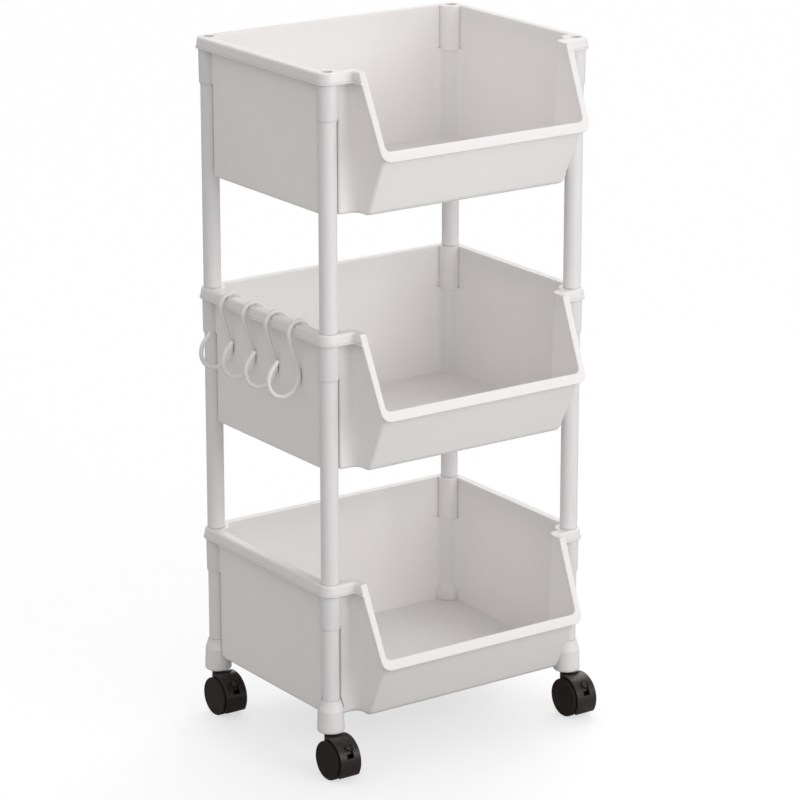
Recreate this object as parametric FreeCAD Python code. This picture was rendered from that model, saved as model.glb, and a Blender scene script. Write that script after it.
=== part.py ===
import FreeCAD, Part
import math
import os

# Rolling storage cart: three moulded bins on round posts, four hooded twin-wheel casters, four S-hooks.
# Lengths are millimetres. X runs to the right, the open front of the bins faces -Y, the floor is at Z = 0.

# Layout of the cart
post_spacing_x = 330.0
post_spacing_y = 235.0
tier_pitch = 286.0
bin_height = 157.0
bin_above_foot = 17.0

# Small values shared by all pieces
overrun = 5.0
slide_fit = 0.1
turn_fit = 0.06
running_gap = 0.5
diagonal_share = math.sqrt(0.5)

# Posts and legs
tube_radius = 10.0
tube_wall = 2.0
tube_end = 3.0
spigot_radius = 5.9
spigot_length = 14.0
spigot_chamfer = 1.0
mouth_clearance = 0.9

# Walls of a bin
wall = 2.2
floor_wall = 2.4
wall_reach = 4.0
channel_gap = 2.0
wall_end_radius = 3.2
inner_corner_radius = 8.0
floor_edge_radius = 4.0
inner_edge_radius = 2.4

# Rim, corner sleeves and corner sockets of a bin
sleeve_wall = 1.8
sleeve_taper = 0.5
boss_wall = 5.0
sleeve_length = 39.3
rim_overhang = 2.2
rim_height = 12.5
rim_plate = 2.6
rim_skirt = 2.2
rim_draft = 1.5
rim_edge_radius = 3.0
bead_height = 2.2
bead_reach = 0.6

# Scooped front of a bin, measured from the front post axes and down from the rim
lip_top_reach = 25.0
nose_reach = 61.8
nose_drop = 82.2
panel_foot_reach = 25.7
panel_foot_radius = 11.0
cheek_inset_top = 29.6
cheek_inset_floor = 34.0
cheek_root_radius = 8.0
scoop_root = 20.0
lip_thickness = 2.6
lip_inset_top = 23.5
lip_inset_low = 27.3
lip_low_width = 11.6
lip_corner_radius = 12.0
lip_opening_radius = 6.0
lip_edge_radius = 1.0
lip_bead = 0.3
ear_root_radius = 4.0

# Foot sleeves
foot_wall = 4.4
foot_flare = 1.0
foot_height = 38.0
foot_shoulder = 12.0
foot_top_wall = 0.7
foot_edge_radius = 2.5
foot_floor = 18.0
foot_gap = 0.9

# Caster stem, body and hood
stem_radius = 4.0
stem_in_foot = 16.0
stem_in_caster = 20.0
stem_flange_radius = 6.4
stem_flange = 1.2
hood_clearance = 1.6
axle_offset = 14.6
axle_radius = 2.5
caster_width = 32.0
wheel_side_gap = 0.6
core_radius = 17.0
boss_floor = 9.0
hood_gap = 1.6
hood_wall = 2.3
hood_inset = 2.5
hood_edge_radius = 1.0
hood_low_angle = -36.0
hood_back_angle = 107.0
bridge_angle = 62.0
web_back_angle = 200.0
seam_width = 0.6
seam_depth = 0.5

# Wheels
wheel_radius = 22.5
tread_width = 8.0
tread_wall = 3.0
disc_wall = 2.2
disc_recess = 0.5
disc_rim_width = 2.4
tread_edge_radius = 1.5
hub_radius = 4.6
hub_end_wall = 1.0

# Brake tab
brake_half_width = 4.0
brake_shoe_inset = 0.8
brake_shoe_gap = 0.4
brake_shoe_angle = 30.0
brake_knob_angle = 43.0
brake_neck_angle = 15.5
brake_travel_angle = 18.0
brake_slot_margin = 0.4
brake_knob_radius = 3.3
brake_knob_height = 2.2
brake_knob_edge = 2.0
brake_recess_depth = 1.1
brake_recess_half_width = 5.6
brake_recess_half_height = 7.2
brake_recess_side_share = 0.4

# S-hooks on the left rim of the middle bin
hook_wire_radius = 2.5
hook_upper_radius = 14.0
hook_lower_radius = 19.7
hook_centre_out = 20.9
hook_centre_down = 49.1
hook_pitch = 46.0
hook_count = 4
hook_seat_gap = 0.3
hook_end_angle = -34.0
hook_tip_angle = 140.0
hook_tip_length = 10.0

# Worked out from the sizes above
half_x = post_spacing_x / 2
half_y = post_spacing_y / 2
bore_radius = tube_radius + slide_fit
sleeve_radius = bore_radius + sleeve_wall
rim_reach = sleeve_radius + rim_overhang
boss_radius = bore_radius + boss_wall
foot_radius = tube_radius + slide_fit + foot_wall
channel_radius = tube_radius + channel_gap
relief_radius = foot_radius + foot_gap
relief_top = foot_height - bin_above_foot + foot_gap
socket_radius = spigot_radius + slide_fit
mouth_radius = socket_radius + mouth_clearance
ledge_height = bin_height - rim_height - sleeve_length
rim_base = bin_height - rim_height
core_half_width = caster_width / 2 - tread_width - wheel_side_gap
hood_half_width = caster_width / 2 - hood_inset
brake_shoe_half_width = core_half_width - brake_shoe_inset
hood_inner_radius = wheel_radius + hood_gap
hood_radius = hood_inner_radius + hood_wall
caster_height = wheel_radius + hood_radius + hood_clearance
lower_bin_base = caster_height + bin_above_foot
bin_bases = {
    "lower_bin": lower_bin_base,
    "middle_bin": lower_bin_base + tier_pitch,
    "upper_bin": lower_bin_base + 2 * tier_pitch,
}
corners = {"fl": (-1, -1), "fr": (1, -1), "bl": (-1, 1), "br": (1, 1)}
lip_tilt = math.atan2(nose_reach - lip_top_reach, nose_drop)
neck_top = caster_height - stem_flange - running_gap / 2
hook_reach = hook_centre_out + hook_lower_radius + hook_wire_radius


def vec(x, y, z):
    return FreeCAD.Vector(x, y, z)


def face_of(edges):
    return Part.Face(Part.Wire(Part.__sortEdges__(edges)))


def polygon_face(points):
    return Part.Face(Part.makePolygon(points + [points[0]]))


def moved(shape, place):
    copy = shape.copy()
    copy.translate(place)
    return copy


def post_axes():
    return [vec(sx * half_x, sy * half_y, 0) for sx, sy in corners.values()]


def post_cylinders(radius, low, high):
    columns = [Part.makeCylinder(radius, high - low, p + vec(0, 0, low)) for p in post_axes()]
    return columns[0].multiFuse(columns[1:])


def revolved(points):
    face = polygon_face([vec(r, 0, z) for r, z in points])
    return face.revolve(vec(0, 0, 0), vec(0, 0, 1), 360)


def front_slab(points):
    face = polygon_face([vec(-half_x, -half_y - reach, z) for reach, z in points])
    return face.extrude(vec(post_spacing_x, 0, 0))


def level_edges(solid, z):
    flat = [e for e in solid.Edges if e.BoundBox.ZLength < slide_fit]
    return [e for e in flat if abs(e.BoundBox.ZMin - z) < slide_fit]


def arc_about(centre, start, end):
    radius = (start - centre).Length
    half_way = (start - centre) + (end - centre)
    return Part.Arc(start, centre + half_way * (radius / half_way.Length), end).toShape()


# A bin's plan is one outline, drawn once for the outer faces and once, a wall thickness further in, for the
# inner ones. Below the sleeves each corner has a round channel in which the post passes outside the bin.
def channelled_plan(thickness, z, end_radius):
    reach = wall_reach - thickness
    radius = channel_radius + thickness
    end_in = reach - end_radius
    span = radius + end_radius
    end_along = math.sqrt(span ** 2 - end_in ** 2)
    touch_share = radius / span
    inward = radius * diagonal_share
    edges = []
    side_ends = {}
    end_ends = {}
    for name, (sx, sy) in corners.items():
        axis = vec(sx * half_x, sy * half_y, z)
        side_centre = vec(sx * end_in, -sy * end_along, 0)
        end_centre = vec(-sx * end_along, sy * end_in, 0)
        side_ends[name] = axis + vec(sx * reach, -sy * end_along, 0)
        end_ends[name] = axis + vec(-sx * end_along, sy * reach, 0)
        side_touch = axis + side_centre * touch_share
        end_touch = axis + end_centre * touch_share
        edges.append(arc_about(axis + side_centre, side_ends[name], side_touch))
        edges.append(Part.Arc(side_touch, axis + vec(-sx * inward, -sy * inward, 0), end_touch).toShape())
        edges.append(arc_about(axis + end_centre, end_touch, end_ends[name]))
    edges += [Part.makeLine(side_ends["f" + side], side_ends["b" + side]) for side in "lr"]
    edges += [Part.makeLine(end_ends[end + "l"], end_ends[end + "r"]) for end in "fb"]
    return face_of(edges)


# Beside the sleeves the walls run on to plain corners, which the sleeves cover.
def cornered_plan(thickness, z):
    reach = wall_reach - thickness
    signs = [corners[name] for name in ("fl", "fr", "br", "bl")]
    return polygon_face([vec(sx * (half_x + reach), sy * (half_y + reach), z) for sx, sy in signs])


# The cheeks of the scooped front lean, so their inset from the posts depends on the height in the bin.
def cheek_inset(z):
    return cheek_inset_floor + (cheek_inset_top - cheek_inset_floor) * z / bin_height


def between_cheeks(thickness, low, high):
    low_half = half_x - cheek_inset(low) - thickness
    high_half = half_x - cheek_inset(high) - thickness
    front = -half_y - nose_reach - lip_low_width
    points = [vec(-low_half, front, low), vec(low_half, front, low)]
    points += [vec(high_half, front, high), vec(-high_half, front, high)]
    return polygon_face(points).extrude(vec(0, half_y + nose_reach + lip_low_width, 0))


# Side view of the scoop as (reach ahead of the front posts, height): floor, leaning panel, open front.
def scoop(thickness, low, front):
    run = nose_reach - panel_foot_reach
    rise = bin_height - nose_drop
    panel_length = math.hypot(run, rise)
    bend = panel_foot_radius - thickness
    foot = panel_foot_reach + low * run / rise - thickness * panel_length / rise
    cut_back = bend * (panel_length - run) / rise
    back = -scoop_root
    high = front[-1][1]
    points = [(foot + cut_back * run / panel_length, low + cut_back * rise / panel_length)]
    points += front + [(back, high), (back, low), (foot - cut_back, low)]
    places = [vec(-half_x, -half_y - reach, z) for reach, z in points]
    edges = [Part.makeLine(a, b) for a, b in zip(places, places[1:])]
    edges.append(arc_about(places[-1] + vec(0, 0, bend), places[-1], places[0]))
    slab = face_of(edges).extrude(vec(post_spacing_x, 0, 0))
    return slab.common(between_cheeks(thickness, low, high))


def middle_of(edge):
    return edge.valueAt((edge.FirstParameter + edge.LastParameter) / 2)


def cheek_root_edges(solid, thickness):
    front = -half_y - wall_reach + thickness
    found = []
    for edge in solid.Edges:
        place = middle_of(edge)
        in_cheek = abs(abs(place.x) - half_x + cheek_inset(place.z) + thickness) < slide_fit
        if in_cheek and abs(place.y - front) < slide_fit and edge.BoundBox.ZLength > ledge_height:
            found.append(edge)
    return found


# Edges round the floor and up both sides of the front panel; they run on smoothly from one to the next.
def floor_chain(solid, thickness, low):
    forward = -half_y - wall_reach - cheek_root_radius
    chain = []
    for edge in solid.Edges:
        box = edge.BoundBox
        place = middle_of(edge)
        level = box.ZLength < slide_fit and abs(place.z - low) < slide_fit
        ahead = place.y < forward - slide_fit
        in_cheek = abs(abs(place.x) - half_x + cheek_inset(place.z) + thickness) < slide_fit
        below_lip = place.z < bin_height - nose_drop and box.YLength > wall / 2
        if (level and not ahead) or (ahead and in_cheek and below_lip):
            chain.append(edge)
    return chain


def bin_body(thickness, low, step, front, end_radius, edge_radius):
    high = front[-1][1]
    lower = channelled_plan(thickness, low, end_radius).extrude(vec(0, 0, step - low))
    upper = cornered_plan(thickness, step).extrude(vec(0, 0, high - step))
    solid = lower.multiFuse([upper, scoop(thickness, low, front)]).removeSplitter()
    solid = solid.makeFillet(cheek_root_radius + thickness, cheek_root_edges(solid, thickness))
    return solid.makeFillet(edge_radius, floor_chain(solid, thickness, low))


# Room for the foot sleeves at the lowest bin's corners, shaped like them; the bin's wall follows it inside.
def foot_relief(thickness):
    low_radius = relief_radius + thickness
    shoulder = relief_top - foot_shoulder
    columns = post_cylinders(low_radius, -overrun, shoulder + thickness)
    top_radius = channel_radius + thickness - slide_fit
    feet = [p + vec(0, 0, shoulder + thickness) for p in post_axes()]
    cones = [Part.makeCone(low_radius, top_radius, foot_shoulder, foot) for foot in feet]
    return columns.multiFuse(cones)


def bin_outside(over_feet):
    lean = math.tan(lip_tilt)
    panel_lean = (nose_reach - panel_foot_reach) / (bin_height - nose_drop)
    set_back = lip_thickness / 2 / math.cos(lip_tilt)
    tip_drop = set_back / (lean + panel_lean)
    high = bin_height - rim_plate / 2
    tip = (nose_reach - panel_lean * tip_drop, bin_height - nose_drop - tip_drop)
    front = [tip, (lip_top_reach + lean * (bin_height - high) - set_back, high)]
    solid = bin_body(0, 0, ledge_height, front, wall_end_radius, floor_edge_radius)
    return solid.cut(foot_relief(0)) if over_feet else solid


def bin_inside(over_feet):
    high = bin_height + overrun
    run = nose_reach - panel_foot_reach
    rise = bin_height - nose_drop
    far = nose_reach + lip_low_width / 2
    far_height = (far - panel_foot_reach + wall * math.hypot(run, rise) / rise) * rise / run
    front = [(far, far_height), (far, high)]
    solid = bin_body(wall, floor_wall, ledge_height + wall, front, inner_corner_radius, inner_edge_radius)
    if over_feet:
        solid = solid.cut(foot_relief(wall))
    return solid.cut(post_cylinders(boss_radius, ledge_height, high))


# Rim outline seen from above: corners concentric with the posts, and a tab at the front for the lip's ears.
def rim_outline(reach, z):
    ear = half_x - lip_inset_top + reach - rim_reach
    root = ear_root_radius
    front = -half_y - reach
    tab = -half_y - nose_reach
    diagonal = reach * diagonal_share
    root_cut = root - root * diagonal_share
    edges = []
    for sx, sy in corners.values():
        side = vec(sx * (half_x + reach), sy * half_y, z)
        bend = vec(sx * (half_x + diagonal), sy * (half_y + diagonal), z)
        end = vec(sx * half_x, sy * (half_y + reach), z)
        edges.append(Part.Arc(side, bend, end).toShape())
    for s in (-1, 1):
        side = s * (half_x + reach)
        edges.append(Part.makeLine(vec(side, -half_y, z), vec(side, half_y, z)))
        start = vec(s * (ear + root), front, z)
        bend = vec(s * (ear + root_cut), front - root_cut, z)
        end = vec(s * ear, front - root, z)
        edges.append(Part.makeLine(vec(s * half_x, front, z), start))
        edges.append(Part.Arc(start, bend, end).toShape())
        edges.append(Part.makeLine(end, vec(s * ear, tab, z)))
    edges.append(Part.makeLine(vec(-half_x, half_y + reach, z), vec(half_x, half_y + reach, z)))
    edges.append(Part.makeLine(vec(-ear, tab, z), vec(ear, tab, z)))
    return Part.Wire(Part.__sortEdges__(edges))


def rim_block(reach, low, high):
    return Part.Face(rim_outline(reach, low)).extrude(vec(0, 0, high - low))


def before_lip():
    slope = math.tan(lip_tilt)
    high_reach = lip_top_reach - slope * overrun
    low_reach = lip_top_reach + slope * (rim_height + overrun)
    far = nose_reach + overrun
    low = rim_base - overrun
    high = bin_height + overrun
    return front_slab([(high_reach, high), (low_reach, low), (far, low), (far, high)])


def rim():
    outlines = [rim_outline(rim_reach, rim_base), rim_outline(rim_reach - rim_draft, bin_height)]
    skin = Part.makeLoft(outlines, True, True)
    skin = skin.makeFillet(rim_edge_radius, level_edges(skin, bin_height))
    bead = rim_block(rim_reach + bead_reach, rim_base, rim_base + bead_height)
    hollow = rim_block(rim_reach - rim_draft - rim_skirt, rim_base - overrun, bin_height - rim_plate)
    bosses = post_cylinders(rim_reach - rim_draft - rim_skirt / 2, rim_base, bin_height - rim_plate / 2)
    return skin.fuse(bead).cut(hollow).fuse(bosses).cut(before_lip())


# Sleeves under the rim's corners, a little narrower at their lower ends.
def sleeves():
    low_radius = sleeve_radius - sleeve_taper
    length = sleeve_length + rim_height - rim_plate / 2
    feet = [p + vec(0, 0, ledge_height) for p in post_axes()]
    cones = [Part.makeCone(low_radius, sleeve_radius, length, foot) for foot in feet]
    return cones[0].multiFuse(cones[1:])


# Flat flange round the scoop's opening, in its leaning plane and behind that plane by its thickness.
def lip():
    down = vec(0, -math.sin(lip_tilt), -math.cos(lip_tilt))
    behind = vec(0, math.cos(lip_tilt), -math.sin(lip_tilt))
    origin = vec(0, -half_y - lip_top_reach, bin_height)
    inner_low = math.hypot(nose_drop, nose_reach - lip_top_reach) - wall

    def plate(top_half, low_half, high, low, thickness, corner_radius):
        points = [vec(-top_half, 0, 0) + origin - down * high, vec(top_half, 0, 0) + origin - down * high]
        points += [vec(low_half, 0, 0) + origin + down * low, vec(-low_half, 0, 0) + origin + down * low]
        solid = polygon_face(points).extrude(behind * thickness)
        across = [e for e in solid.Edges if e.BoundBox.XLength < slide_fit]
        low_corners = [e for e in across if e.CenterOfMass.z < bin_height - nose_drop / 2]
        return solid.makeFillet(corner_radius, low_corners)

    low = inner_low + lip_low_width
    flange = plate(half_x - lip_inset_top, half_x - lip_inset_low, 0, low, lip_thickness, lip_corner_radius)
    lean = (cheek_inset_floor - cheek_inset_top) / bin_height
    top_half = half_x - cheek_inset_top - wall - lip_bead
    opening_low = inner_low - lip_bead
    drop = math.cos(lip_tilt)
    above = top_half + lean * overrun * drop
    below = top_half - lean * opening_low * drop
    opening = plate(above, below, overrun, opening_low, 2 * lip_thickness, lip_opening_radius)
    flange = flange.cut(moved(opening, behind * (-lip_thickness / 2)))
    front = [e for e in flange.Edges if abs((middle_of(e) - origin).dot(behind)) < slide_fit]
    return flange.makeFillet(lip_edge_radius, front)


def make_bin(over_feet):
    solid = bin_outside(over_feet).fuse(rim()).fuse(sleeves())
    solid = solid.cut(bin_inside(over_feet)).fuse(lip())
    solid = solid.cut(post_cylinders(bore_radius, ledge_height - overrun, bin_height - tube_end))
    solid = solid.cut(post_cylinders(socket_radius, rim_base, bin_height + overrun))
    return solid.removeSplitter()


# A post stands on a rim with its spigot through the rim's socket, and its top end fills the sleeve above.
def make_post():
    length = tier_pitch - tube_end
    bore = tube_radius - tube_wall
    outside = [(0, -spigot_length), (spigot_radius - spigot_chamfer, -spigot_length)]
    outside += [(spigot_radius, spigot_chamfer - spigot_length), (spigot_radius, 0), (tube_radius, 0)]
    outside += [(tube_radius, length), (mouth_radius, length), (mouth_radius, length - tube_end)]
    outside += [(bore, length - tube_end), (bore, tube_end), (0, tube_end)]
    return revolved(outside)


def make_leg():
    length = lower_bin_base + bin_height - tube_end - caster_height - foot_floor
    bore = tube_radius - tube_wall
    outside = [(bore, 0), (tube_radius, 0), (tube_radius, length), (mouth_radius, length)]
    outside += [(mouth_radius, length - tube_end), (bore, length - tube_end)]
    return revolved(outside)


def make_foot():
    low = foot_radius + foot_flare
    top = bore_radius + foot_top_wall
    stem_bore = stem_radius + slide_fit
    outside = [(stem_bore, 0), (low, 0), (foot_radius, foot_height - foot_shoulder), (top, foot_height)]
    outside += [(bore_radius, foot_height), (bore_radius, foot_floor), (stem_bore, foot_floor)]
    solid = revolved(outside)
    rim_edges = [e for e in level_edges(solid, 0) if e.BoundBox.XLength > 2 * foot_radius]
    return solid.makeFillet(foot_edge_radius, rim_edges + level_edges(solid, foot_height - foot_shoulder))


# Caster pieces stand on the floor with the stem on the Z axis and the axle ahead of it.
def on_arc(radius, angle, x):
    turn = math.radians(angle)
    return vec(x, -axle_offset - radius * math.cos(turn), wheel_radius + radius * math.sin(turn))


def sector(inner, outer, half_width, start, end):
    middle = (start + end) / 2
    edges = [Part.Arc(*[on_arc(outer, a, -half_width) for a in (start, middle, end)]).toShape()]
    edges.append(Part.Arc(*[on_arc(inner, a, -half_width) for a in (start, middle, end)]).toShape())
    edges.append(Part.makeLine(on_arc(inner, start, -half_width), on_arc(outer, start, -half_width)))
    edges.append(Part.makeLine(on_arc(inner, end, -half_width), on_arc(outer, end, -half_width)))
    return face_of(edges).extrude(vec(2 * half_width, 0, 0))


def axle_rod(radius, half_length):
    return Part.makeCylinder(radius, 2 * half_length, on_arc(0, 0, -half_length), vec(1, 0, 0))


def make_stem():
    low_end = vec(0, 0, caster_height - stem_in_caster)
    shank = Part.makeCylinder(stem_radius, stem_in_foot + stem_in_caster, low_end)
    flange = Part.makeCylinder(stem_flange_radius, stem_flange, vec(0, 0, caster_height - stem_flange))
    return shank.fuse(flange).removeSplitter()


def brake_slot():
    half_neck = brake_neck_angle / 2
    margin = math.degrees(brake_slot_margin / hood_inner_radius)
    start = brake_knob_angle - half_neck - brake_travel_angle - margin
    end = brake_knob_angle + half_neck + margin
    half_width = brake_half_width + brake_slot_margin
    return sector(hood_inner_radius - overrun / 2, hood_radius + overrun, half_width, start, end)


# Six-sided pocket in the hood round the brake knob, and the fine seam from it to the hood's right edge.
def brake_pocket():
    floor = on_arc(hood_radius - brake_recess_depth, brake_knob_angle, 0)
    outward = floor - on_arc(0, 0, 0)
    outward.normalize()
    upward = outward.cross(vec(-1, 0, 0))
    side = brake_recess_half_width
    low = brake_recess_half_height * brake_recess_side_share
    points = [(0, brake_recess_half_height), (side, low), (side, -low)]
    points += [(0, -brake_recess_half_height), (-side, -low), (-side, low)]
    face = polygon_face([floor + vec(x, 0, 0) + upward * y for x, y in points])
    return face.extrude(outward * overrun)


def hood_seam():
    half_turn = math.degrees(seam_width / hood_radius) / 2
    start = brake_knob_angle - half_turn
    half_width = hood_half_width / 2
    end = start + 2 * half_turn
    groove = sector(hood_radius - seam_depth, hood_radius + overrun, half_width, start, end)
    return moved(groove, vec(half_width + brake_half_width, 0, 0))


def make_caster_body():
    core = axle_rod(core_radius, core_half_width)
    boss = Part.makeCylinder(core_half_width, neck_top - boss_floor, vec(0, 0, boss_floor))
    hood = sector(hood_inner_radius, hood_radius, hood_half_width, hood_low_angle, hood_back_angle)
    rims = [e for e in hood.Edges if e.BoundBox.XLength < slide_fit and e.Length > hood_inner_radius * 2]
    outer = [e for e in rims if e.Curve.Radius > hood_radius - hood_wall / 2]
    hood = hood.makeFillet(hood_edge_radius, outer)
    stem_angle = 180 - math.degrees(math.acos(axle_offset / hood_radius))
    bridge = sector(core_radius / 2, hood_radius - hood_wall / 2, core_half_width, bridge_angle, stem_angle)
    web_reach = axle_offset + core_half_width / 2
    web = sector(core_radius / 2, web_reach, core_half_width, stem_angle, web_back_angle)
    solid = core.multiFuse([boss, hood, bridge, web])
    hole_floor = vec(0, 0, caster_height - stem_in_caster - running_gap / 2)
    stem_hole = Part.makeCylinder(stem_radius + turn_fit, stem_in_caster + overrun, hole_floor)
    solid = solid.cut(stem_hole).cut(axle_rod(axle_radius, caster_width))
    return solid.cut(brake_slot()).cut(brake_pocket()).cut(hood_seam()).removeSplitter()


def make_axle():
    return axle_rod(axle_radius, caster_width / 2 - disc_wall - hub_end_wall)


# Dished wheel: the tread ring, the outer disc and the hub, turned about the axle.
def make_wheel(side):
    outer = caster_width / 2
    inner = outer - tread_width
    rim_line = wheel_radius - disc_rim_width
    bore = axle_radius + turn_fit
    floor = outer - disc_wall
    hub_start = core_half_width + running_gap
    bore_end = outer - disc_wall - hub_end_wall + running_gap / 2
    face_line = outer - disc_recess
    tread_inside = wheel_radius - tread_wall
    points = [(inner, tread_inside), (inner, wheel_radius), (outer, wheel_radius), (outer, rim_line)]
    points += [(face_line, rim_line - disc_recess), (face_line, 0), (bore_end, 0), (bore_end, bore)]
    points += [(hub_start, bore), (hub_start, hub_radius), (floor, hub_radius), (floor, tread_inside)]
    face = polygon_face([vec(side * x, -axle_offset, wheel_radius + r) for x, r in points])
    solid = face.revolve(on_arc(0, 0, 0), vec(1, 0, 0), 360)
    circles = [e for e in solid.Edges if e.BoundBox.XLength < slide_fit]
    treads = [e for e in circles if abs(e.BoundBox.ZLength - 2 * wheel_radius) < slide_fit]
    return solid.makeFillet(tread_edge_radius, treads)


def make_brake_tab():
    half_shoe = brake_shoe_angle / 2
    half_neck = brake_neck_angle / 2
    shoe_inner = core_radius + brake_shoe_gap
    shoe_outer = hood_inner_radius - brake_shoe_gap
    start = brake_knob_angle - half_shoe
    shoe = sector(shoe_inner, shoe_outer, brake_shoe_half_width, start, brake_knob_angle + half_shoe)
    neck_start = brake_knob_angle - half_neck
    neck_top_radius = hood_radius - brake_recess_depth
    neck = sector(shoe_inner, neck_top_radius, brake_half_width, neck_start, brake_knob_angle + half_neck)
    root = on_arc(hood_inner_radius, brake_knob_angle, 0)
    knob_length = hood_wall + brake_knob_height
    knob = Part.makeCylinder(brake_knob_radius, knob_length, root, root - on_arc(0, 0, 0))
    top = [e for e in knob.Edges if (e.CenterOfMass - root).Length > knob_length - slide_fit]
    return shoe.multiFuse([neck, knob.makeFillet(brake_knob_edge, top)]).removeSplitter()


# A hook hangs in an XZ plane. Its upper loop is centred at the origin, over the rim's outer edge.
def make_hook():
    turn_sum = hook_upper_radius + hook_lower_radius
    lower = vec(-hook_centre_out, 0, -hook_centre_down)
    span = math.hypot(hook_centre_out, hook_centre_down)
    heading = math.atan2(lower.z, lower.x)
    shank_angle = heading - math.acos(turn_sum / span)
    leave = vec(math.cos(shank_angle), 0, math.sin(shank_angle))

    def upper_point(angle):
        return vec(hook_upper_radius * math.cos(angle), 0, hook_upper_radius * math.sin(angle))

    def lower_point(angle):
        return lower + vec(hook_lower_radius * math.cos(angle), 0, hook_lower_radius * math.sin(angle))

    end = math.radians(hook_end_angle)
    top_turn = shank_angle + 2 * math.pi
    upper_middle = (end + top_turn) / 2
    join = shank_angle + math.pi
    tip = math.radians(hook_tip_angle) - 2 * math.pi
    lower_middle = (join + tip) / 2
    arc_up = Part.Arc(upper_point(end), upper_point(upper_middle), leave * hook_upper_radius)
    shank = Part.LineSegment(leave * hook_upper_radius, lower - leave * hook_lower_radius)
    arc_low = Part.Arc(lower - leave * hook_lower_radius, lower_point(lower_middle), lower_point(tip))
    tip_end = lower_point(tip) + vec(math.sin(tip), 0, -math.cos(tip)) * hook_tip_length
    tip_line = Part.LineSegment(lower_point(tip), tip_end)
    path = Part.Wire([arc_up.toShape(), shank.toShape(), arc_low.toShape(), tip_line.toShape()])
    tangent = vec(-math.sin(end), 0, math.cos(end))
    ring = Part.Wire([Part.makeCircle(hook_wire_radius, upper_point(end), tangent)])
    wire = path.makePipeShell([ring], True, False)
    balls = [Part.makeSphere(hook_wire_radius, p) for p in (upper_point(end), tip_end)]
    return wire.multiFuse(balls).removeSplitter()


# The hook's upper loop clears the rounded edge of the rim by the seat gap, and its lower loop the wall.
def hook_places():
    wall_face = half_x + wall_reach
    x = -wall_face - hook_seat_gap - hook_lower_radius - hook_wire_radius + hook_centre_out
    rim_round_x = -half_x - rim_reach + rim_draft + rim_edge_radius
    clear = hook_upper_radius - hook_wire_radius - rim_edge_radius - hook_seat_gap
    drop = math.sqrt(clear ** 2 - (x - rim_round_x) ** 2)
    z = bin_bases["middle_bin"] + bin_height - rim_edge_radius - drop
    first = -hook_pitch * (hook_count - 1) / 2
    return [vec(x, first + hook_pitch * i, z) for i in range(hook_count)]


def cart():
    nodes = {}
    plain_bin = make_bin(False)
    lowest_bin = make_bin(True)
    post = make_post()
    leg = make_leg()
    foot = make_foot()
    caster = {
        "caster_stem": make_stem(),
        "caster_body": make_caster_body(),
        "caster_axle": make_axle(),
        "wheel_left": make_wheel(-1),
        "wheel_right": make_wheel(1),
        "brake_tab": make_brake_tab(),
    }
    for name, base in bin_bases.items():
        shape = lowest_bin if name == "lower_bin" else plain_bin
        nodes[name] = moved(shape, vec(0, 0, base))
    for name, (sx, sy) in corners.items():
        axis = vec(sx * half_x, sy * half_y, 0)
        nodes["upper_post_" + name] = moved(post, axis + vec(0, 0, bin_bases["middle_bin"] + bin_height))
        nodes["lower_post_" + name] = moved(post, axis + vec(0, 0, bin_bases["lower_bin"] + bin_height))
        nodes["leg_tube_" + name] = moved(leg, axis + vec(0, 0, caster_height + foot_floor))
        nodes["foot_" + name] = moved(foot, axis + vec(0, 0, caster_height))
        for piece, shape in caster.items():
            nodes[piece + "_" + name] = moved(shape, axis)
    hook = make_hook()
    for i, place in enumerate(reversed(hook_places())):
        nodes["hook_" + str(i + 1)] = moved(hook, place)
    return nodes


# The origin is on the floor under the middle of the whole cart, hooks and lip included.
def origin_shift():
    left = hook_places()[0].x - hook_reach
    right = half_x + rim_reach + bead_reach
    front = -half_y - nose_reach - lip_low_width * math.sin(lip_tilt)
    back = half_y + rim_reach + bead_reach
    return vec(-(left + right) / 2, -(front + back) / 2, 0)


def main():
    os.makedirs("parts", exist_ok=True)
    shift = origin_shift()
    for name, shape in cart().items():
        moved(shape, shift).exportStep("parts/" + name + ".step")


main()
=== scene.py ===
import bpy
import math
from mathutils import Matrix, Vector

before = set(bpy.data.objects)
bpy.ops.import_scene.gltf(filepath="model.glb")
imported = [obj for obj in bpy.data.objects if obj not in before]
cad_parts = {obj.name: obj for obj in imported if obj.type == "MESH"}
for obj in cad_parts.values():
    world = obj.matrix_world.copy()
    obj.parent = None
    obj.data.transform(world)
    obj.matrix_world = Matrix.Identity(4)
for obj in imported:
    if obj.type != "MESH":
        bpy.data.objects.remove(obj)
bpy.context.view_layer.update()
bpy.ops.object.select_all(action="DESELECT")
print("frame in:", len(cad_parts), "nodes")


# Short ways to add nodes and join them
def addNode(tree, kind, **settings):
    node = tree.nodes.new(kind)
    for name, value in settings.items():
        setattr(node, name, value)
    return node


def feed(tree, socket, value):
    if isinstance(value, (int, float, tuple)):
        socket.default_value = value
    else:
        tree.links.new(value, socket)


def objectPlace(tree):
    return addNode(tree, "ShaderNodeTexCoord").outputs["Object"]


def mathNode(tree, operation, first, second, clamp=False):
    node = addNode(tree, "ShaderNodeMath", operation=operation, use_clamp=clamp)
    feed(tree, node.inputs[0], first)
    feed(tree, node.inputs[1], second)
    return node.outputs[0]


def noiseNode(tree, place, scale, detail):
    node = addNode(tree, "ShaderNodeTexNoise")
    feed(tree, node.inputs["Vector"], place)
    feed(tree, node.inputs["Scale"], scale)
    feed(tree, node.inputs["Detail"], detail)
    return node.outputs[0]


def rangeNode(tree, value, fromLow, fromHigh, toLow=0.0, toHigh=1.0):
    node = addNode(tree, "ShaderNodeMapRange")
    for socket, part in zip(node.inputs, (value, fromLow, fromHigh, toLow, toHigh)):
        feed(tree, socket, part)
    return node.outputs[0]


def noiseMask(tree, place, look):
    return rangeNode(tree, noiseNode(tree, place, look["scale"], look["detail"]), *look["range"])


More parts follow.
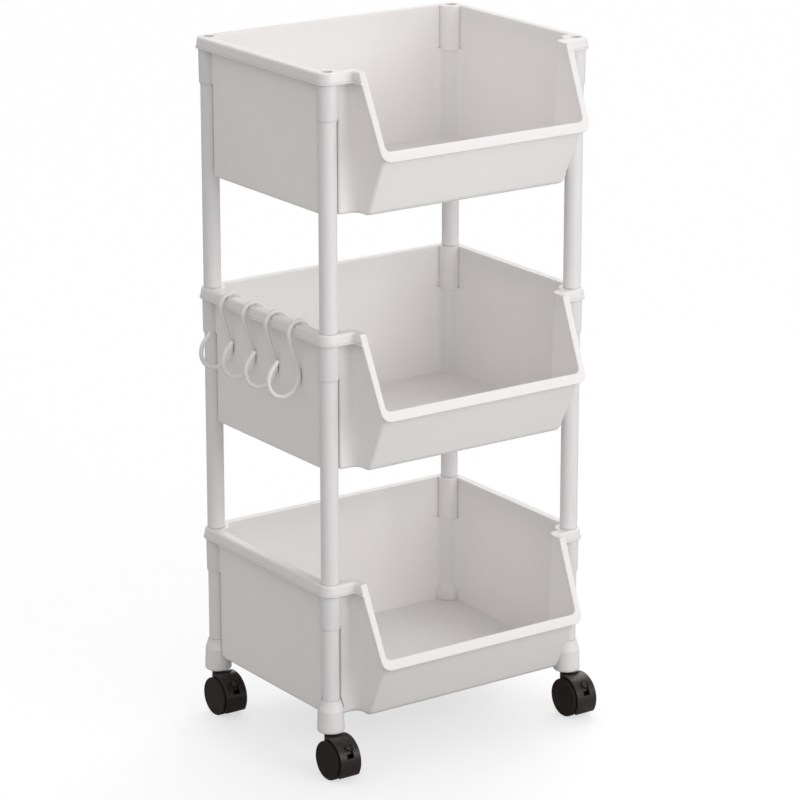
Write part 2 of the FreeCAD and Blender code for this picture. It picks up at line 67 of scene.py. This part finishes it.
def mixColour(tree, share, first, second):
    node = addNode(tree, "ShaderNodeMix", data_type="RGBA")
    feed(tree, node.inputs[0], share)
    feed(tree, node.inputs[6], first)  # 6 and 7 are the mix node's two colours, output 2 the mixed one
    feed(tree, node.inputs[7], second)
    return node.outputs[2]


def startGroup(name, inputs, outputs):
    tree = bpy.data.node_groups.new(name, "ShaderNodeTree")
    for label, kind, value in inputs:
        socket = tree.interface.new_socket(label, in_out="INPUT", socket_type="NodeSocket" + kind)
        socket.default_value = value
    for label, kind in outputs:
        tree.interface.new_socket(label, in_out="OUTPUT", socket_type="NodeSocket" + kind)
    into = tree.nodes.new("NodeGroupInput").outputs
    return tree, into, tree.nodes.new("NodeGroupOutput").inputs


# Moulded skin: slow clouding of the colour, flow streaks, fine grain and slight sink waves
skinLook = {
    "cloudDetail": 4.0, "cloudShare": 0.85,
    "streakStretch": (1.0, 1.0, 0.12), "streakScale": 90.0, "streakDetail": 2.0, "streakShare": 0.15,
    "shadeRange": (0.32, 0.68),
    "grainDetail": 2.0, "grainShare": 0.12, "waveScale": 26.0, "waveDetail": 1.0,
}


def makeMouldedSkin():
    look = skinLook
    tree, into, out = startGroup(
        "mouldedSkin",
        [("Base", "Color", (0.8, 0.8, 0.8, 1)), ("Shade", "Color", (0.7, 0.7, 0.7, 1)),
         ("Cloud Scale", "Float", 9.0), ("Grain Scale", "Float", 1400.0), ("Wave", "Float", 0.3),
         ("Rough Low", "Float", 0.35), ("Rough High", "Float", 0.5)],
        [("Color", "Color"), ("Roughness", "Float"), ("Height", "Float")])
    place = objectPlace(tree)
    stretched = addNode(tree, "ShaderNodeMapping")
    feed(tree, stretched.inputs["Vector"], place)
    feed(tree, stretched.inputs["Scale"], look["streakStretch"])
    cloud = noiseNode(tree, place, into["Cloud Scale"], look["cloudDetail"])
    streak = noiseNode(tree, stretched.outputs[0], look["streakScale"], look["streakDetail"])
    mixed = mathNode(tree, "ADD", mathNode(tree, "MULTIPLY", streak, look["streakShare"]),
                     mathNode(tree, "MULTIPLY", cloud, look["cloudShare"]))
    share = rangeNode(tree, mixed, *look["shadeRange"])
    feed(tree, out["Color"], mixColour(tree, share, into["Base"], into["Shade"]))
    feed(tree, out["Roughness"], rangeNode(tree, share, 0.0, 1.0, into["Rough Low"], into["Rough High"]))
    grain = noiseNode(tree, place, into["Grain Scale"], look["grainDetail"])
    wave = noiseNode(tree, place, look["waveScale"], look["waveDetail"])
    feed(tree, out["Height"], mathNode(tree, "ADD", mathNode(tree, "MULTIPLY", grain, look["grainShare"]),
                                       mathNode(tree, "MULTIPLY", wave, into["Wave"])))
    return tree


# Edge rub: a broken band along the edges, and the normal that rounds them
rubLook = {"samples": 6, "turned": (0.995, 0.9), "breakDetail": 5.0, "breakRange": (0.35, 0.62)}


def makeEdgeRub():
    look = rubLook
    tree, into, out = startGroup(
        "edgeRub",
        [("Radius", "Float", 0.001), ("Break Scale", "Float", 90.0)],
        [("Mask", "Float"), ("Normal", "Vector")])
    soft = addNode(tree, "ShaderNodeBevel", samples=look["samples"])
    feed(tree, soft.inputs["Radius"], into["Radius"])
    geometry = addNode(tree, "ShaderNodeNewGeometry")
    facing = addNode(tree, "ShaderNodeVectorMath", operation="DOT_PRODUCT")
    feed(tree, facing.inputs[0], soft.outputs[0])
    feed(tree, facing.inputs[1], geometry.outputs["Normal"])
    edge = rangeNode(tree, facing.outputs["Value"], *look["turned"])
    noise = noiseNode(tree, objectPlace(tree), into["Break Scale"], look["breakDetail"])
    feed(tree, out["Mask"], mathNode(tree, "MULTIPLY", edge, rangeNode(tree, noise, *look["breakRange"])))
    feed(tree, out["Normal"], soft.outputs[0])
    return tree


# Settled dust: thicker on faces that look up and towards the floor
dustLook = {
    "upRange": (0.3, 1.0),
    "specks": {"scale": 240.0, "detail": 6.0, "range": (0.38, 0.75)},
    "drifts": {"scale": 30.0, "detail": 3.0, "range": (0.3, 0.7)},
}


def makeSettledDust():
    look = dustLook
    tree, into, out = startGroup(
        "settledDust",
        [("Up", "Float", 0.5), ("Low", "Float", 0.5), ("Low Height", "Float", 0.03)],
        [("Mask", "Float")])
    place = objectPlace(tree)
    facing = addNode(tree, "ShaderNodeSeparateXYZ")
    feed(tree, facing.inputs[0], addNode(tree, "ShaderNodeNewGeometry").outputs["Normal"])
    height = addNode(tree, "ShaderNodeSeparateXYZ")
    feed(tree, height.inputs[0], place)
    up = mathNode(tree, "MULTIPLY", rangeNode(tree, facing.outputs["Z"], *look["upRange"]), into["Up"])
    nearFloor = rangeNode(tree, height.outputs["Z"], into["Low Height"], 0.0)
    low = mathNode(tree, "MULTIPLY", nearFloor, into["Low"])
    amount = mathNode(tree, "ADD", up, low, clamp=True)
    spots = mathNode(tree, "MULTIPLY", noiseMask(tree, place, look["specks"]),
                     noiseMask(tree, place, look["drifts"]))
    feed(tree, out["Mask"], mathNode(tree, "MULTIPLY", spots, amount))
    return tree


# Crevice shade: painted shade, an ambient-occlusion mask that darkens the colour in narrow gaps and inside
# corners, slightly uneven
creviceLook = {
    "samples": 6, "openToDeep": (0.88, 0.42),
    "uneven": {"scale": 60.0, "detail": 3.0, "range": (0.3, 0.7, 0.7, 1.0)},
}


def makeCreviceShade():
    look = creviceLook
    tree, into, out = startGroup(
        "creviceShade",
        [("Reach", "Float", 0.0025), ("Amount", "Float", 0.5)],
        [("Mask", "Float")])
    near = addNode(tree, "ShaderNodeAmbientOcclusion", samples=look["samples"])
    feed(tree, near.inputs["Distance"], into["Reach"])
    # painted shade: the less open a point is, the deeper the shade painted on it
    deep = rangeNode(tree, near.outputs["AO"], *look["openToDeep"])
    uneven = mathNode(tree, "MULTIPLY", deep, noiseMask(tree, objectPlace(tree), look["uneven"]))
    feed(tree, out["Mask"], mathNode(tree, "MULTIPLY", uneven, into["Amount"]))
    return tree


mouldedSkin = makeMouldedSkin()
edgeRub = makeEdgeRub()
creviceShade = makeCreviceShade()
settledDust = makeSettledDust()
print("finish groups ready")


def placeGroup(tree, group, values):
    node = addNode(tree, "ShaderNodeGroup", node_tree=group)
    for name, value in values.items():
        node.inputs[name].default_value = value
    return node


def startMaterial(name):
    material = bpy.data.materials.new(name)
    material.use_nodes = True
    tree = material.node_tree
    return material, tree, tree.nodes["Principled BSDF"]


tints = {
    "white": (0.866, 0.848, 0.846, 1), "whiteShade": (0.852, 0.834, 0.832, 1),
    "whiteRub": (0.86, 0.855, 0.845, 1), "dust": (0.60, 0.575, 0.54, 1),
    # painted shade colours, mixed into gaps and inside corners by the crevice shade mask
    "paintedShadeGrey": (0.40, 0.385, 0.38, 1), "paintedShadeBlack": (0.004, 0.0035, 0.0032, 1),
}
# Each finish: colour, roughness, surface relief, rub along edges, dust, painted shade in crevices and shine;
# lengths in metres
plasticFinish = {
    "binWhite": {
        "base": tints["white"], "shade": tints["whiteShade"], "rough": (0.34, 0.46), "gloss": 0.5, "depth": 0.3,
        "grain": 1500.0, "wave": 0.5, "bump": 0.25,
        "rub": tints["whiteRub"], "rubShare": 0.5, "edge": 0.0009,
        "dust": tints["dust"], "dustUp": 0.10, "dustLow": 0.0,
        "paintedShade": tints["paintedShadeGrey"], "paintedShadeShare": 0.6, "reach": 0.0025},
    "postWhite": {
        "base": tints["white"], "shade": tints["whiteShade"], "rough": (0.30, 0.40), "gloss": 0.5, "depth": 0.3,
        "grain": 1900.0, "wave": 0.35, "bump": 0.2,
        "rub": tints["whiteRub"], "rubShare": 0.5, "edge": 0.0006,
        "dust": tints["dust"], "dustUp": 0.08, "dustLow": 0.25,
        "paintedShade": tints["paintedShadeGrey"], "paintedShadeShare": 0.6, "reach": 0.0025},
    "hookCoat": {
        "base": tints["white"], "shade": tints["whiteShade"], "rough": (0.24, 0.34), "gloss": 0.5, "depth": 0.0,
        "grain": 900.0, "wave": 0.5, "bump": 0.2,
        "rub": (0.70, 0.69, 0.67, 1), "rubShare": 0.3, "edge": 0.0003,
        "dust": tints["dust"], "dustUp": 0.06, "dustLow": 0.0,
        "paintedShade": tints["paintedShadeGrey"], "paintedShadeShare": 0.3, "reach": 0.0025},
    "casterBlack": {
        "base": (0.0165, 0.0128, 0.0112, 1), "shade": (0.0215, 0.0168, 0.0148, 1), "rough": (0.24, 0.36),
        "gloss": 0.42, "depth": 0.0, "grain": 1700.0, "wave": 0.3, "bump": 0.3,
        "rub": (0.06, 0.055, 0.052, 1), "rubShare": 0.5, "edge": 0.0006,
        "dust": (0.16, 0.145, 0.13, 1), "dustUp": 0.18, "dustLow": 0.25,
        # a longer reach paints deep shade into the brake knob's pocket
        "paintedShade": tints["paintedShadeBlack"], "paintedShadeShare": 0.9, "reach": 0.006},
    "wheelBlack": {
        "base": (0.0215, 0.0160, 0.0142, 1), "shade": (0.0270, 0.0203, 0.0182, 1), "rough": (0.34, 0.48),
        "gloss": 0.12, "depth": 0.0, "grain": 1200.0, "wave": 0.3, "bump": 0.3,
        "rub": (0.06, 0.055, 0.05, 1), "rubShare": 0.45, "edge": 0.0006,
        "dust": (0.18, 0.165, 0.145, 1), "dustUp": 0.1, "dustLow": 0.25,
        "paintedShade": tints["paintedShadeBlack"], "paintedShadeShare": 0.7, "reach": 0.0025},
}
plasticBody = {"ior": 1.49, "bumpDepth": 0.0004, "dustDull": 0.4,
               "depthTint": (1.0, 0.9, 0.85), "depthScale": 0.006}


def makePlastic(name):
    look = plasticFinish[name]
    material, tree, shader = startMaterial(name)
    skin = placeGroup(tree, mouldedSkin, {
        "Base": look["base"], "Shade": look["shade"], "Grain Scale": look["grain"], "Wave": look["wave"],
        "Rough Low": look["rough"][0], "Rough High": look["rough"][1]})
    rub = placeGroup(tree, edgeRub, {"Radius": look["edge"]})
    paintedShade = placeGroup(tree, creviceShade, {"Reach": look["reach"], "Amount": look["paintedShadeShare"]})
    dust = placeGroup(tree, settledDust, {"Up": look["dustUp"], "Low": look["dustLow"]})
    rubMask = mathNode(tree, "MULTIPLY", rub.outputs["Mask"], look["rubShare"])
    rubbed = mixColour(tree, rubMask, skin.outputs["Color"], look["rub"])
    # painted shade: the crevice mask darkens the colour towards the painted shade colour in gaps and inside
    # corners
    shaded = mixColour(tree, paintedShade.outputs["Mask"], rubbed, look["paintedShade"])
    dusty = mixColour(tree, dust.outputs["Mask"], shaded, look["dust"])
    dull = mathNode(tree, "MULTIPLY", dust.outputs["Mask"], plasticBody["dustDull"])
    rough = mathNode(tree, "ADD", skin.outputs["Roughness"], dull, clamp=True)
    bump = addNode(tree, "ShaderNodeBump")
    feed(tree, bump.inputs["Strength"], look["bump"])
    feed(tree, bump.inputs["Distance"], plasticBody["bumpDepth"])
    feed(tree, bump.inputs["Height"], skin.outputs["Height"])
    feed(tree, bump.inputs["Normal"], rub.outputs["Normal"])
    feed(tree, shader.inputs["Base Color"], dusty)
    feed(tree, shader.inputs["Roughness"], rough)
    feed(tree, shader.inputs["Normal"], bump.outputs[0])
    feed(tree, shader.inputs["IOR"], plasticBody["ior"])
    feed(tree, shader.inputs["Specular IOR Level"], look["gloss"])
    feed(tree, shader.inputs["Subsurface Weight"], look["depth"])
    feed(tree, shader.inputs["Subsurface Radius"], plasticBody["depthTint"])
    feed(tree, shader.inputs["Subsurface Scale"], plasticBody["depthScale"])
    return material


# Pin steel: bright drawn wire with a fine mottle
pinLook = {
    "bright": (0.56, 0.555, 0.54, 1), "dark": (0.34, 0.335, 0.325, 1), "rough": (0.24, 0.42),
    "mottle": {"scale": 1600.0, "detail": 3.0, "range": (0.35, 0.65)},
}


def makePinSteel():
    material, tree, shader = startMaterial("pinSteel")
    share = noiseMask(tree, objectPlace(tree), pinLook["mottle"])
    feed(tree, shader.inputs["Base Color"], mixColour(tree, share, pinLook["bright"], pinLook["dark"]))
    feed(tree, shader.inputs["Roughness"], rangeNode(tree, share, 0.0, 1.0, *pinLook["rough"]))
    feed(tree, shader.inputs["Metallic"], 1.0)
    return material


def atCorners(*kinds):
    return [kind + corner for kind in kinds for corner in ("fl", "fr", "bl", "br")]


finishes = {name: makePlastic(name) for name in plasticFinish}
finishes["pinSteel"] = makePinSteel()
wears = {
    "binWhite": ["upper_bin", "middle_bin", "lower_bin"],
    "postWhite": atCorners("upper_post_", "lower_post_", "leg_tube_", "foot_"),
    "hookCoat": ["hook_1", "hook_2", "hook_3", "hook_4"],
    "casterBlack": atCorners("caster_body_", "brake_tab_"),
    "wheelBlack": atCorners("wheel_left_", "wheel_right_"),
    "pinSteel": atCorners("caster_stem_", "caster_axle_"),
}
for finish, names in wears.items():
    for name in names:
        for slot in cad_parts[name].material_slots:
            slot.material = finishes[finish]
print("finishes on:", sum(len(names) for names in wears.values()), "nodes")


# The floor and the sky look brighter to the camera than the light they give
studio = {
    "floorSize": 60.0, "floorColour": (0.40, 0.40, 0.40, 1), "floorRough": 0.9, "floorGloss": 0.1,
    "floorShine": (1.0, 1.0, 1.0, 1), "floorGlow": 0.62,
    "worldColour": (1.0, 0.972, 0.968, 1), "worldStrength": 0.61,
    "skyColour": (1.0, 1.0, 1.0, 1), "skyGlow": 1.0,
    "camera": (-2.2033, -3.1713, 1.5658), "target": (0.0250, 0.0218, 0.3764),
    "lens": 160.93, "sensor": 36.0, "farClip": 200.0,
}
# A sun's spread is its angle in degrees, an area light's its width in metres
lights = {
    "frontLight": {
        "kind": "AREA", "from": (0.3, -1.7, 0.95), "towards": (0.0, 0.0, 0.6),
        "strength": 10.5, "spread": 0.9, "colour": (1.0, 1.0, 1.0)},
    "keyLight": {
        "kind": "SUN", "from": (0.8, -0.8, 0.25), "towards": (0.0, 0.0, 0.0),
        "strength": 0.20, "spread": 40.0, "colour": (1.0, 1.0, 1.0)},
    "cameraLight": {
        "kind": "SUN", "from": (-0.55, -0.79, 0.45), "towards": (0.0, 0.0, 0.0),
        "strength": 0.29, "spread": 50.0, "colour": (1.0, 0.98, 0.98)},
    "backLight": {
        "kind": "SUN", "from": (0.7, 0.7, 1.0), "towards": (0.0, 0.0, 0.0),
        "strength": 1.09, "spread": 50.0, "colour": (1.0, 1.0, 1.0)},
}


def aim(thing, towards):
    thing.rotation_mode = "QUATERNION"
    thing.rotation_quaternion = Vector(towards).to_track_quat("-Z", "Y")


def makeFloor():
    bpy.ops.mesh.primitive_plane_add(size=studio["floorSize"], location=(0, 0, 0))
    floor = bpy.context.object
    floor.name = "studioFloor"
    paper, tree, shader = startMaterial("studioPaper")
    feed(tree, shader.inputs["Base Color"], studio["floorColour"])
    feed(tree, shader.inputs["Roughness"], studio["floorRough"])
    feed(tree, shader.inputs["Specular IOR Level"], studio["floorGloss"])
    feed(tree, shader.inputs["Emission Color"], studio["floorShine"])
    seen = addNode(tree, "ShaderNodeLightPath").outputs["Is Camera Ray"]
    feed(tree, shader.inputs["Emission Strength"], mathNode(tree, "MULTIPLY", seen, studio["floorGlow"]))
    floor.data.materials.append(paper)


def makeSky():
    world = bpy.data.worlds.new("studioWorld")
    world.use_nodes = True
    tree = world.node_tree
    sky = tree.nodes["Background"]
    seen = addNode(tree, "ShaderNodeLightPath").outputs["Is Camera Ray"]
    feed(tree, sky.inputs["Color"], mixColour(tree, seen, studio["worldColour"], studio["skyColour"]))
    shown = rangeNode(tree, seen, 0.0, 1.0, studio["worldStrength"], studio["skyGlow"])
    feed(tree, sky.inputs["Strength"], shown)
    bpy.context.scene.world = world


def makeLight(name):
    look = lights[name]
    bpy.ops.object.light_add(type=look["kind"], location=look["from"])
    lamp = bpy.context.object
    lamp.name = name
    lamp.visible_camera = False
    lamp.data.energy = look["strength"]
    lamp.data.color = look["colour"]
    if look["kind"] == "SUN":
        lamp.data.angle = math.radians(look["spread"])
    else:
        lamp.data.size = look["spread"]
    aim(lamp, Vector(look["towards"]) - Vector(look["from"]))


def makeCamera():
    bpy.ops.object.camera_add(location=studio["camera"])
    view = bpy.context.object
    view.name = "photoCamera"
    view.data.sensor_width = studio["sensor"]
    view.data.lens = studio["lens"]
    view.data.clip_end = studio["farClip"]
    aim(view, Vector(studio["target"]) - Vector(studio["camera"]))
    bpy.context.scene.camera = view


makeFloor()
makeSky()
for name in lights:
    makeLight(name)
makeCamera()
bpy.context.scene.view_settings.view_transform = "Standard"
print("studio ready")
